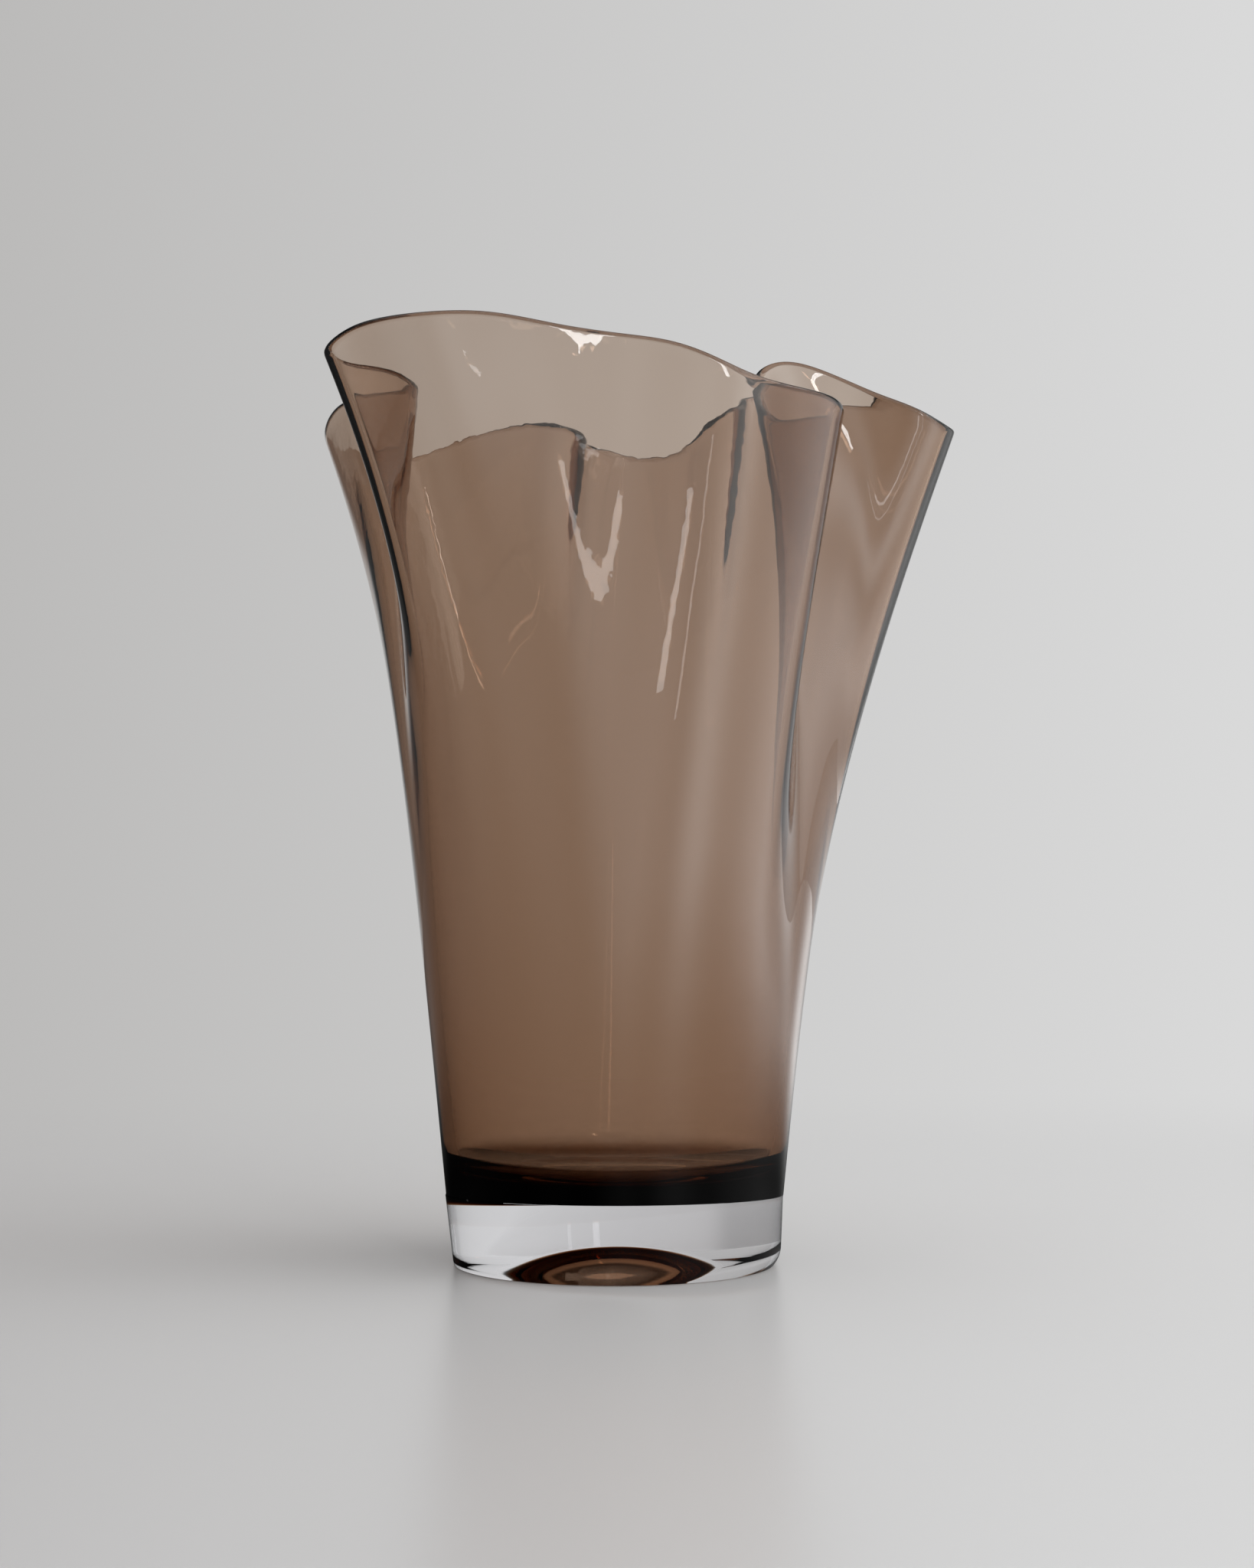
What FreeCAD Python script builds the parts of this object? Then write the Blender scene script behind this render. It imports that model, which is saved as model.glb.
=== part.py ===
import FreeCAD, Part
import Sketcher
import math
import os

from FreeCAD import Vector

# A folded fan vase of smoky brown glass on a thick foot of clear glass.
# Z is up, the floor is at z = 0 and the origin is the middle of the foot.
# Seen from the front, the viewer looks along +Y and +X is to the right.

# Driving sizes in millimetres and degrees.
SIZES = {
    # Mouth of the bowl
    "vase_height": 238.0,
    "rim_dip": 24.0,
    "rim_radius": 90.0,
    "throat_radius": 64.0,
    # Joint between the two glasses: a circle, tipped down at the back
    "seam_radius": 44.0,
    "seam_height": 17.7,
    "seam_tilt": 2.8,
    # Glass thicknesses of the bowl
    "rim_wall": 3.0,
    "heel_wall": 3.8,
    "floor_thickness": 5.8,
    "corner_height": 6.5,
    "corner_width": 20.0,
    # Clear foot
    "foot_taper": 4.5,
    "foot_lean": 2.2,
    "foot_corner": 7.0,
    "grinding_depth": 3.7,
    "punt_radius": 20.5,
    "punt_depth": 7.3,
    # How far a cutting profile runs past what it cuts
    "overrun": 6.0,
}

# The rim, once round anticlockwise from the front left lobe. Each entry holds a
# direction in degrees, the reach as a share of rim_radius, the dip below the
# highest wave as a share of rim_dip, and a power: the higher it is, the nearer
# to the rim the fold opens.
RIM_SHARES = [
    # Front lobe
    (212.5, 0.935, 0.35, 4.0),
    (218.0, 0.925, 0.20, 3.6),
    (225.0, 0.880, 0.11, 3.2),
    (233.0, 0.810, 0.07, 2.8),
    (242.0, 0.715, 0.06, 2.6),
    (256.5, 0.630, 0.17, 2.4),
    (273.0, 0.590, 0.25, 2.2),
    (284.0, 0.610, 0.32, 2.2),
    (293.0, 0.650, 0.46, 2.2),
    (302.5, 0.695, 0.65, 2.2),
    (314.0, 0.735, 0.75, 2.2),
    (325.0, 0.755, 0.82, 2.2),
    (332.0, 0.715, 0.89, 2.2),
    # Valley between the front and the right lobe
    (340.0, 0.590, 0.87, 2.2),
    (347.4, 0.484, 0.80, 2.1),
    (352.9, 0.441, 0.58, 2.1),
    (358.5, 0.436, 0.22, 2.2),
    # Right lobe
    (2.6, 0.488, 0.09, 2.4),
    (3.0, 0.620, 0.19, 2.6),
    (0.5, 0.770, 0.46, 2.6),
    (358.5, 0.900, 0.68, 2.6),
    (1.0, 0.985, 0.83, 2.6),
    (8.0, 0.955, 0.67, 2.6),
    (17.0, 0.885, 0.46, 2.6),
    (30.0, 0.830, 0.34, 2.6),
    (41.5, 0.770, 0.21, 2.7),
    (49.0, 0.710, 0.16, 2.7),
    (52.0, 0.630, 0.20, 2.8),
    # Valley between the right and the back lobe
    (49.4, 0.570, 0.30, 2.8),
    (51.1, 0.527, 0.42, 2.8),
    (64.2, 0.549, 0.76, 2.8),
    # Back lobe
    (77.3, 0.632, 0.81, 2.8),
    (87.1, 0.656, 0.78, 3.0),
    (94.0, 0.637, 0.71, 3.6),
    # Valley between the back and the rear left lobe
    (101.7, 0.575, 0.67, 4.2),
    (106.3, 0.484, 0.58, 4.6),
    (111.5, 0.484, 0.54, 4.6),
    (116.0, 0.541, 0.50, 4.2),
    # Rear left lobe
    (121.5, 0.665, 0.51, 3.4),
    (126.0, 0.790, 0.58, 3.1),
    (134.0, 0.935, 0.79, 3.2),
    (146.0, 0.945, 0.87, 3.8),
    (160.5, 0.925, 0.75, 4.4),
    (172.0, 0.830, 0.52, 4.4),
    # Valley between the rear left and the front lobe
    (183.0, 0.700, 0.50, 4.0),
    (193.0, 0.610, 0.50, 3.6),
    (203.0, 0.680, 0.44, 3.6),
    (208.5, 0.810, 0.42, 3.8),
]

# Straight bands between closed curves make the skins: how many from the bottom to
# the rim, and how fast they get narrower on the way, with 1 for even ones.
WALL_BANDS = 24
NARROWING_SHARE = 0.6
# Bands over the rounded rim, and over the rounded bottom of the cavity.
RIM_BANDS = 6
CORNER_BANDS = 8
# Step down from the rim over which the run of the wall is measured.
RIM_STEP_SHARE = 0.02


def make_sheet(doc):
    """Keep every driving size in a spreadsheet, one named cell each."""
    sheet = doc.addObject("Spreadsheet::Sheet", "Sizes")
    for row, (name, value) in enumerate(SIZES.items(), start=1):
        sheet.set(f"A{row}", name)
        sheet.set(f"B{row}", str(value))
        sheet.setAlias(f"B{row}", name)
    doc.recompute()
    return sheet


def add_sketch(body, name, role):
    """Add a sketch on one of the body's own origin planes."""
    plane = next(f for f in body.Origin.OriginFeatures if f.Role == role)
    sketch = body.newObject("Sketcher::SketchObject", name)
    sketch.AttachmentSupport = (plane, "")
    sketch.MapMode = "FlatFace"
    return sketch


def draw_polygon(sketch, corners):
    """Draw a closed outline whose corners are pairs of expressions."""
    points = [
        Vector(float(sketch.evalExpression(across)), float(sketch.evalExpression(up)), 0)
        for across, up in corners
    ]
    count = len(points)
    for i in range(count):
        sketch.addGeometry(Part.LineSegment(points[i], points[(i + 1) % count]), False)
    for i in range(count):
        sketch.addConstraint(Sketcher.Constraint("Coincident", i, 2, (i + 1) % count, 1))
    for i, (across, up) in enumerate(corners):
        for kind, formula, value in (
            ("DistanceX", across, points[i].x),
            ("DistanceY", up, points[i].y),
        ):
            index = sketch.addConstraint(Sketcher.Constraint(kind, -1, 1, i, 1, value))
            sketch.setExpression(f"Constraints[{index}]", formula)


def stand_on_seam(sketch, turn):
    """Put the sketch's origin in the middle of the seam, turned by a named angle."""
    sketch.AttachmentOffset = FreeCAD.Placement(
        Vector(), FreeCAD.Rotation(Vector(0, 0, 1), float(sketch.evalExpression(turn)))
    )
    sketch.setExpression("AttachmentOffset.Base.y", "Sizes.seam_height")
    sketch.setExpression("AttachmentOffset.Rotation.Angle", turn)


def cut_through(body, name, sketch):
    """Cut a sketch's outline right through the body, to both sides of its plane."""
    pocket = body.newObject("PartDesign::Pocket", name)
    pocket.Profile = sketch
    pocket.Type = "ThroughAll"
    pocket.Midplane = True
    return pocket


def make_clear_base(doc):
    """Clear foot: a turned blank, its ground underside, the seam on top and the punt."""
    body = doc.addObject("PartDesign::Body", "clear_base")
    body.Label = "clear_base"

    # The blank leans a little, so grinding it level leaves the corner sharp on one
    # side and round on the other.
    top = "(Sizes.seam_radius * tan(Sizes.seam_tilt) + Sizes.overrun)"
    bottom = "(Sizes.seam_height + Sizes.grinding_depth)"
    blank_profile = add_sketch(body, "blank_profile", "XZ_Plane")
    stand_on_seam(blank_profile, "Sizes.foot_lean")
    draw_polygon(blank_profile, [
        ("0", f"-{bottom}"),
        (f"Sizes.seam_radius - {bottom} * tan(Sizes.foot_taper)", f"-{bottom}"),
        (f"Sizes.seam_radius + {top} * tan(Sizes.foot_taper)", top),
        ("0", top),
    ])
    blank = body.newObject("PartDesign::Revolution", "blank")
    blank.Profile = blank_profile
    blank.ReferenceAxis = (blank_profile, ["V_Axis"])
    blank.Angle = 360
    doc.recompute()

    lowest = min(
        (i for i, e in enumerate(blank.Shape.Edges) if isinstance(e.Curve, Part.Circle)),
        key=lambda i: blank.Shape.Edges[i].Curve.Center.z,
    )
    corner = body.newObject("PartDesign::Fillet", "corner")
    corner.Base = (blank, [f"Edge{lowest + 1}"])
    corner.setExpression("Radius", "Sizes.foot_corner")

    side = "(Sizes.seam_radius + Sizes.overrun)"
    ground_profile = add_sketch(body, "ground_profile", "XZ_Plane")
    draw_polygon(ground_profile, [
        (f"-{side}", f"-{bottom}"),
        (side, f"-{bottom}"),
        (side, "0"),
        (f"-{side}", "0"),
    ])
    cut_through(body, "ground_flat", ground_profile)

    seam_profile = add_sketch(body, "seam_profile", "YZ_Plane")
    stand_on_seam(seam_profile, "-Sizes.seam_tilt")
    draw_polygon(seam_profile, [
        (f"-{side}", "0"),
        (side, "0"),
        (side, f"2 * {top}"),
        (f"-{side}", f"2 * {top}"),
    ])
    cut_through(body, "seam_flat", seam_profile)

    # The punt is a shallow ground hollow, part of a sphere.
    ball_radius = "((Sizes.punt_radius ^ 2 + Sizes.punt_depth ^ 2) / (2 * Sizes.punt_depth))"
    punt_profile = add_sketch(body, "punt_profile", "XZ_Plane")
    radius = float(punt_profile.evalExpression(ball_radius))
    centre = float(punt_profile.evalExpression("Sizes.punt_depth")) - radius
    circle = Part.Circle(Vector(0, centre, 0), Vector(0, 0, 1), radius)
    quarter = math.pi / 2
    punt_profile.addGeometry(Part.ArcOfCircle(circle, -quarter, quarter), False)
    punt_profile.addGeometry(
        Part.LineSegment(Vector(0, centre + radius, 0), Vector(0, centre - radius, 0)), False
    )
    punt_profile.addConstraint([
        Sketcher.Constraint("Coincident", 0, 2, 1, 1),
        Sketcher.Constraint("Coincident", 0, 1, 1, 2),
        Sketcher.Constraint("PointOnObject", 0, 3, -2),
        Sketcher.Constraint("PointOnObject", 0, 1, -2),
        Sketcher.Constraint("PointOnObject", 0, 2, -2),
    ])
    radius_index = punt_profile.addConstraint(Sketcher.Constraint("Radius", 0, radius))
    punt_profile.setExpression(f"Constraints[{radius_index}]", ball_radius)
    depth_index = punt_profile.addConstraint(
        Sketcher.Constraint("DistanceY", -1, 1, 0, 2, centre + radius)
    )
    punt_profile.setExpression(f"Constraints[{depth_index}]", "Sizes.punt_depth")
    doc.recompute()
    volume = body.Shape.Volume
    punt = body.newObject("PartDesign::Groove", "punt")
    punt.Profile = punt_profile
    punt.ReferenceAxis = (punt_profile, ["V_Axis"])
    punt.Angle = 360
    doc.recompute()
    if punt.Shape.Volume >= volume:
        raise ValueError("the punt cut nothing")
    return body


class FoldedWall:
    """The outside of the bowl: lines of glass that run from the seam to the rim."""

    def __init__(self, sheet):
        self.sheet = sheet
        self.rim = []
        self.power = []
        for direction, reach_share, dip_share, power in RIM_SHARES:
            reach = reach_share * sheet.rim_radius
            top = sheet.vase_height - sheet.rim_wall / 2 - dip_share * sheet.rim_dip
            angle = math.radians(direction)
            self.rim.append(Vector(reach * math.cos(angle), reach * math.sin(angle), top))
            self.power.append(power)
        # The lines leave the round seam spaced as they are along the rim.
        count = len(self.rim)
        steps = [(self.rim[(i + 1) % count] - self.rim[i]).Length for i in range(count)]
        run = [sum(steps[:i]) for i in range(count + 1)]
        self.parameters = [length / run[-1] for length in run]
        leads = []
        for i in range(count):
            turn = math.atan2(self.rim[i].y, self.rim[i].x) - 2 * math.pi * self.parameters[i]
            leads.append(Vector(math.cos(turn), math.sin(turn), 0))
        lead = sum(leads, Vector())
        offset = math.atan2(lead.y, lead.x)
        self.root = [offset + 2 * math.pi * share for share in self.parameters[:-1]]

    def seam_point(self, i):
        """Where line i leaves the seam."""
        angle = self.root[i]
        across = self.sheet.seam_radius * math.cos(angle)
        along = self.sheet.seam_radius * math.sin(angle)
        drop = along * math.tan(math.radians(self.sheet.seam_tilt))
        return Vector(across, along, self.sheet.seam_height - drop)

    def at_share(self, i, share):
        """The point of line i at a share of the way up from seam to rim."""
        seam = self.seam_point(i)
        rim = self.rim[i]
        growth = self.sheet.throat_radius - self.sheet.seam_radius
        radius = self.sheet.seam_radius + growth * share
        fold = share ** self.power[i]
        across = (1 - fold) * radius * math.cos(self.root[i]) + fold * rim.x
        along = (1 - fold) * radius * math.sin(self.root[i]) + fold * rim.y
        return Vector(across, along, seam.z + (rim.z - seam.z) * share)

    def at_height(self, i, height):
        """The point of line i at a height."""
        seam = self.seam_point(i)
        return self.at_share(i, (height - seam.z) / (self.rim[i].z - seam.z))

    def run_at_rim(self, i):
        """The direction in which line i reaches the rim."""
        run = self.at_share(i, 1) - self.at_share(i, 1 - RIM_STEP_SHARE)
        return run.normalize()

    def curve(self, points):
        """One smooth closed curve through a row of points, one on each line."""
        curve = Part.BSplineCurve()
        curve.interpolate(Points=points, PeriodicFlag=True, Parameters=self.parameters)
        return curve

    def inward(self, points, thickness):
        """A row of points moved into the glass, square to the row's own curve."""
        curve = self.curve(points)
        moved = []
        for point, parameter in zip(points, self.parameters):
            along = curve.tangent(parameter)[0]
            side = Vector(-along.y, along.x, 0).normalize()
            moved.append(point + side * thickness)
        return moved


def bands(curves):
    """Faces that run straight from each closed curve to the next."""
    faces = []
    for lower, upper in zip(curves, curves[1:]):
        poles = [list(pair) for pair in zip(lower.getPoles(), upper.getPoles())]
        surface = Part.BSplineSurface()
        surface.buildFromPolesMultsKnots(
            poles, lower.getMultiplicities(), [2, 2], lower.getKnots(), [0.0, 1.0],
            True, False, 3, 1,
        )
        faces.append(surface.toShape())
    return faces


def flat_face(row):
    return Part.Face(Part.Wire(row.toShape()))


def make_tinted_bowl(doc, sheet):
    """Brown bowl: outside, rounded rim, inside, rounded cavity bottom and two flats."""
    wall = FoldedWall(sheet)
    lines = range(len(wall.rim))

    shares = [(band / WALL_BANDS) ** NARROWING_SHARE for band in range(WALL_BANDS + 1)]
    outside = [[wall.at_share(i, share) for i in lines] for share in shares]

    # The cavity's wall stands on a level circle above the rounded corner.
    cavity_floor = sheet.seam_height + sheet.floor_thickness
    cavity_wall = cavity_floor + sheet.corner_height
    inside = []
    for share in shares:
        heights = [cavity_wall + share * (wall.rim[i].z - cavity_wall) for i in lines]
        row = [wall.at_height(i, height) for i, height in zip(lines, heights)]
        thickness = sheet.rim_wall + (sheet.heel_wall - sheet.rim_wall) * (1 - share) ** 2
        inside.append(wall.inward(row, thickness))

    # The rim is a half circle from the outside over to the inside.
    middles = [(outer + inner) / 2 for outer, inner in zip(outside[-1], inside[-1])]
    runs = [wall.run_at_rim(i) * sheet.rim_wall / 2 for i in lines]
    rim = []
    for band in range(1, RIM_BANDS):
        turn = math.pi * band / RIM_BANDS
        rim.append([
            middle + (outer - middle) * math.cos(turn) + run * math.sin(turn)
            for middle, outer, run in zip(middles, outside[-1], runs)
        ])

    # The corner draws in to the flat cavity floor along a quarter circle.
    corner = []
    for band in range(1, CORNER_BANDS + 1):
        turn = math.pi / 2 * band / CORNER_BANDS
        inset = sheet.corner_width * (1 - math.cos(turn))
        drop = Vector(0, 0, sheet.corner_height * math.sin(turn))
        corner.append([
            point - Vector(point.x, point.y, 0).normalize() * inset - drop
            for point in inside[0]
        ])

    rows = outside + rim + inside[::-1] + corner
    curves = [wall.curve(row) for row in rows]
    faces = [flat_face(curves[0])] + bands(curves) + [flat_face(curves[-1])]
    shell = Part.Shell(faces)
    shell.sewShape()
    solid = Part.Solid(shell)
    if solid.Volume < 0:
        solid.reverse()
    bowl = doc.addObject("Part::Feature", "tinted_bowl")
    bowl.Label = "tinted_bowl"
    bowl.Shape = solid
    bowl.Placement = FreeCAD.Placement()
    return bowl


def main():
    doc = FreeCAD.newDocument("fan_vase")
    sheet = make_sheet(doc)
    parts = [make_tinted_bowl(doc, sheet), make_clear_base(doc)]
    doc.recompute()
    for item in doc.Objects:
        if "Invalid" in item.State or "Error" in item.State:
            raise ValueError(f"{item.Label} could not be built")
    for part in parts:
        if part.Shape.isNull() or not part.Shape.isValid():
            raise ValueError(f"{part.Label} is not a valid shape")
    os.makedirs("parts", exist_ok=True)
    for part in parts:
        part.Shape.exportStep(f"parts/{part.Label}.step")


main()
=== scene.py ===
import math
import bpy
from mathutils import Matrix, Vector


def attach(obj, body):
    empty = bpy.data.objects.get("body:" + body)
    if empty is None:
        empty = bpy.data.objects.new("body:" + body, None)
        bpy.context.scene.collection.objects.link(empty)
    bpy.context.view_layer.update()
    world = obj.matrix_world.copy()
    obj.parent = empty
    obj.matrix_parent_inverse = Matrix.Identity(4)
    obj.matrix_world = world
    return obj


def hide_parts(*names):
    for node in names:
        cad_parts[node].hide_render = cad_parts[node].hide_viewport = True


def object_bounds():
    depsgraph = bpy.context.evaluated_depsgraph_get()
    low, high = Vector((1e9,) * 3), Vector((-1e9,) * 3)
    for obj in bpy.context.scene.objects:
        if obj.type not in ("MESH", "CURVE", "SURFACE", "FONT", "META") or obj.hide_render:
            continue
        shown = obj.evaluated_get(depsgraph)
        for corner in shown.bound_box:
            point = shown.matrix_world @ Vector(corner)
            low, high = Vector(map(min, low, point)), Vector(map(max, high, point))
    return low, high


bl_info = {
    "name": "Folded Fan Vase",
    "version": (1, 0, 0),
    "blender": (4, 5, 0),
    "location": "View3D > Sidebar > Fan Vase",
    "description": "A folded fan vase of smoky brown glass on a thick foot of clear glass",
    "category": "Object",
}

import bpy
import numpy as np
from bpy.props import FloatProperty, FloatVectorProperty, IntProperty, PointerProperty
from mathutils import Vector

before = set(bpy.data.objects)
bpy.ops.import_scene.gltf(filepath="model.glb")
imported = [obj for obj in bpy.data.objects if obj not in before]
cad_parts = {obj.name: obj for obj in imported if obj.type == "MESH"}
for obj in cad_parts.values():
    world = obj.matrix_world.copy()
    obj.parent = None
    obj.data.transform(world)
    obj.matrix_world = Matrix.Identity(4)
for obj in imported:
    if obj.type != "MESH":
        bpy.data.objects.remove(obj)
cad_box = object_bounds()

MM = 0.001

# The rim, once round anticlockwise from the front left lobe. Each entry holds a
# direction in degrees, the reach as a share of the rim radius, the dip below the
# highest wave as a share of the rim dip, and a power: the higher it is, the nearer
# to the rim the fold opens.
RIM_SHARES = [
    # Front lobe
    (212.5, 0.935, 0.35, 4.0),
    (218.0, 0.925, 0.20, 3.6),
    (225.0, 0.880, 0.11, 3.2),
    (233.0, 0.810, 0.07, 2.8),
    (242.0, 0.715, 0.06, 2.6),
    (256.5, 0.630, 0.17, 2.4),
    (273.0, 0.590, 0.25, 2.2),
    (284.0, 0.610, 0.32, 2.2),
    (293.0, 0.650, 0.46, 2.2),
    (302.5, 0.695, 0.65, 2.2),
    (314.0, 0.735, 0.75, 2.2),
    (325.0, 0.755, 0.82, 2.2),
    (332.0, 0.715, 0.89, 2.2),
    # Valley between the front and the right lobe
    (340.0, 0.590, 0.87, 2.2),
    (347.4, 0.484, 0.80, 2.1),
    (352.9, 0.441, 0.58, 2.1),
    (358.5, 0.436, 0.22, 2.2),
    # Right lobe
    (2.6, 0.488, 0.09, 2.4),
    (3.0, 0.620, 0.19, 2.6),
    (0.5, 0.770, 0.46, 2.6),
    (358.5, 0.900, 0.68, 2.6),
    (1.0, 0.985, 0.83, 2.6),
    (8.0, 0.955, 0.67, 2.6),
    (17.0, 0.885, 0.46, 2.6),
    (30.0, 0.830, 0.34, 2.6),
    (41.5, 0.770, 0.21, 2.7),
    (49.0, 0.710, 0.16, 2.7),
    (52.0, 0.630, 0.20, 2.8),
    # Valley between the right and the back lobe
    (49.4, 0.570, 0.30, 2.8),
    (51.1, 0.527, 0.42, 2.8),
    (64.2, 0.549, 0.76, 2.8),
    # Back lobe
    (77.3, 0.632, 0.81, 2.8),
    (87.1, 0.656, 0.78, 3.0),
    (94.0, 0.637, 0.71, 3.6),
    # Valley between the back and the rear left lobe
    (101.7, 0.575, 0.67, 4.2),
    (106.3, 0.484, 0.58, 4.6),
    (111.5, 0.484, 0.54, 4.6),
    (116.0, 0.541, 0.50, 4.2),
    # Rear left lobe
    (121.5, 0.665, 0.51, 3.4),
    (126.0, 0.790, 0.58, 3.1),
    (134.0, 0.935, 0.79, 3.2),
    (146.0, 0.945, 0.87, 3.8),
    (160.5, 0.925, 0.75, 4.4),
    (172.0, 0.830, 0.52, 4.4),
    # Valley between the rear left and the front lobe
    (183.0, 0.700, 0.50, 4.0),
    (193.0, 0.610, 0.50, 3.6),
    (203.0, 0.680, 0.44, 3.6),
    (208.5, 0.810, 0.42, 3.8),
]

# A cubic strip whose end arms have this share of its radius is nearly a half circle.
HALF_CIRCLE_SHARE = 4.0 / 3.0
# The same for a quarter circle.
QUARTER_CIRCLE_SHARE = 0.5523
# Step down from the rim over which the run of the wall is measured.
RIM_STEP_SHARE = 0.02

# Both joined faces keep this far apart, so that light meets them one after the other.
SEAM_GAP = 0.03 * MM
# Height over the seam in which the bowl's lift by that gap fades out.
SEAM_FADE = 50 * MM
# The foot stands a hair over the board, so their faces don't meet.
FLOOR_DROP = 0.2 * MM

# Steps of the meshes.
DISC_STEPS = 8
LIP_STEPS = 8
CORNER_STEPS = 10
FOOT_SIDE_STEPS = 24
STANDING_RING_STEPS = 8
PUNT_STEPS = 20
FOOT_COLUMNS = 360
# The foot's blank reaches this far over the seam, as a share of the seam's radius.
BLANK_TOP_SHARE = 0.25
# Halvings that find where the blank's side is cut by a plane.
HALVINGS = 50

# The picture's longer side, and how far its frame is shifted to the right and up.
PICTURE_HEIGHT_PX = 2048
SHIFT_RIGHT_PX = 16
SHIFT_UP_PX = 124
# Half the picture's width, per metre of distance.
PICTURE_SIDE = 0.235
# On the same scale, where the wall left of the picture is darkest.
DARK_SIDE = 0.39
# Nearest distance that places on the stage are measured with, as a share of the camera's.
NEAREST_SHARE = 0.5

# Extent of the board and of the wall, in metres.
BOARD_HALF_WIDTH = 6.0
BOARD_FRONT = -8.0
WALL_HALF_WIDTH = 2.5
WALL_TOP = 3.0
# The board starts to turn into the wall's tone at this share of its end.
BOARD_BLEND_SHARE = 0.3
# Mirrored in the glass, the board is dim up to the first distance from the vase, and as
# bright as the room from the second, in metres.
BOARD_DIM_TO = 0.14
BOARD_FULL_FROM = 0.6
# The wall is in full light up to the first height and dim from the second.
WALL_LIT_TO = 0.85
WALL_DIM_FROM = 1.3

# The room round the stage, by direction: from where to where it turns from its dark left
# to its bright right, from its front to what lies behind the vase, and up to the ceiling.
ROOM_ACROSS = (-0.4, 0.75)
ROOM_BEHIND = (0.0, 0.5)
ROOM_UPWARD = (0.55, 0.95)
# Curtains and window posts: soft upright stripes.
STRIPE_TURNS = 12.0
STRIPE_DEPTH = 0.32

# Name, place, point it faces, width and height in metres, power in watts, and whether the
# glass mirrors it and shows it through. The three strips are window light from behind the
# camera. They draw the long streaks: along the left fold, beside the front wedge, and a
# thin one right of it.
LAMPS = (
    ("Right window", (1.6, -0.5, 0.9), (0.0, 0.1, 0.1), (1.2, 1.4), 7.0, False, False),
    ("Top softbox", (0.0, -0.2, 1.8), (0.0, 0.1, 0.0), (1.2, 1.2), 3.5, False, True),
    ("Left streak", (0.36, -1.12, 0.95), (0.0, 0.0, 0.15), (0.05, 0.6), 1.2, True, True),
    ("Wedge streak", (0.122, -1.39, 0.27), (0.0, 0.0, 0.15), (0.04, 0.35), 0.15, True, True),
    ("Thin streak", (0.285, -1.37, 0.27), (0.0, 0.0, 0.15), (0.02, 0.5), 0.07, True, True),
)


def linear(hex_colour):
    """An sRGB hex colour as linear red, green and blue."""
    values = []
    for start in (1, 3, 5):
        c = int(hex_colour[start:start + 2], 16) / 255
        values.append(c / 12.92 if c <= 0.04045 else ((c + 0.055) / 1.055) ** 2.4)
    return tuple(values)


WHITE = linear("#FFFFFF")
# What a shadow keeps of the light that passes one skin of the glass.
SHADOW_TINT = linear("#F7F7F7")


def length_property(name, description, default_mm):
    return FloatProperty(
        name=name, description=description, default=default_mm * MM, min=0.0,
        unit="LENGTH", precision=4,
    )


def angle_property(name, description, default_degrees):
    return FloatProperty(
        name=name, description=description, default=math.radians(default_degrees),
        subtype="ANGLE",
    )


def level_property(name, description, default):
    return FloatProperty(name=name, description=description, default=default, min=0.0)


def colour_property(name, description, hex_colour):
    return FloatVectorProperty(
        name=name, description=description, default=linear(hex_colour), min=0.0, max=1.0,
        size=3, subtype="COLOR",
    )


class VaseSizes(bpy.types.PropertyGroup):
    """Sizes of the blown and folded bowl and of its foot"""

    vase_height: length_property("Height", "Height of the rim's highest wave", 238.0)
    rim_dip: length_property("Rim dip", "From the rim's highest wave to the lowest", 24.0)
    rim_radius: length_property("Rim radius", "Reach of the furthest fold", 90.0)
    throat_radius: length_property(
        "Throat radius", "Radius that the round wall would have at the rim", 64.0,
    )
    seam_radius: length_property("Seam radius", "Radius of the joint between the glasses", 44.0)
    seam_height: length_property("Seam height", "Height of the joint's middle", 17.7)
    seam_tilt: angle_property("Seam tilt", "How far the joint tips down at the back", 2.8)
    rim_wall: length_property("Rim wall", "Thickness of the glass at the rim", 3.0)
    heel_wall: length_property("Heel wall", "Thickness of the glass low down", 3.8)
    floor_thickness: length_property("Floor thickness", "Brown glass under the cavity", 5.8)
    corner_height: length_property(
        "Corner height", "Height of the rounding around the cavity floor", 6.5,
    )
    corner_width: length_property(
        "Corner width", "Width of the rounding around the cavity floor", 20.0,
    )
    foot_taper: angle_property("Foot taper", "How far the foot's side leans in", 4.5)
    foot_lean: angle_property("Foot lean", "How far the foot's axis leans to the left", 2.2)
    foot_corner: length_property("Foot corner", "Rounding under the foot before it is ground", 7.0)
    grinding_depth: length_property("Grinding depth", "Glass ground off under the foot", 3.7)
    punt_radius: length_property("Punt radius", "Radius of the hollow under the foot", 20.5)
    punt_depth: length_property("Punt depth", "Depth of the hollow under the foot", 7.3)
    steps_per_line: IntProperty(
        name="Steps per line", description="Columns of the mesh between two lines of the rim",
        default=10, min=2,
    )
    rows: IntProperty(name="Rows", description="Rows of the mesh up the wall", default=72, min=8)


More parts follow.
